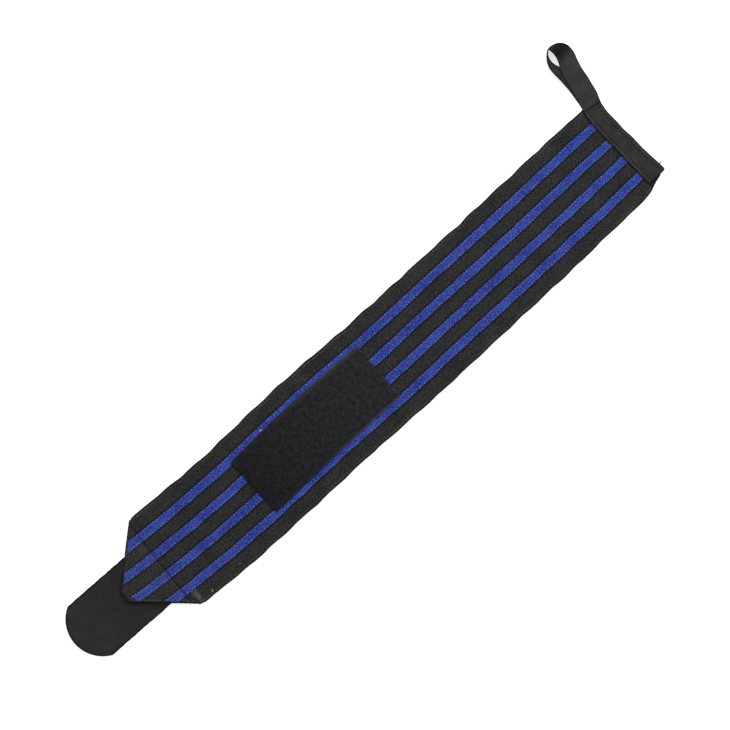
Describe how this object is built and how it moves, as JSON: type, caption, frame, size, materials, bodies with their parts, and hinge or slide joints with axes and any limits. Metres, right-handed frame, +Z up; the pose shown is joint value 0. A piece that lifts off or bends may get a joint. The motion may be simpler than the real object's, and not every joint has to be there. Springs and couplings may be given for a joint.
{
  "type": "wrist brace wrap",
  "caption": "Striped woven elastic wrist wrap lying flat, with a pointed end and round hook tab, a pile patch on its outer face, and a tape thumb loop that binds the square end.",
  "frame": {"origin": "on the table, under the middle of the box of the wrap as it lies", "axes": "+X along the band from the hook tab to the thumb loop, +Y across it to the side the loop stands out from, +Z up from the table"},
  "size_m": [0.5533, 0.131, 0.0149],
  "materials": {
    "elastic": "matt woven elastic, black with blue lengthwise stripes",
    "pile": "matt brushed loop pile, black",
    "hook_tape": "dull smooth nylon tape, black, with hooks on its lower face",
    "tape": "dull ribbed tape, black"
  },
  "bodies": {
    "root": {"elastic_band": "elastic", "pile_patch": "pile", "hook_tab": "hook_tape", "thumb_loop_tape": "tape"}
  },
  "joints": []
}
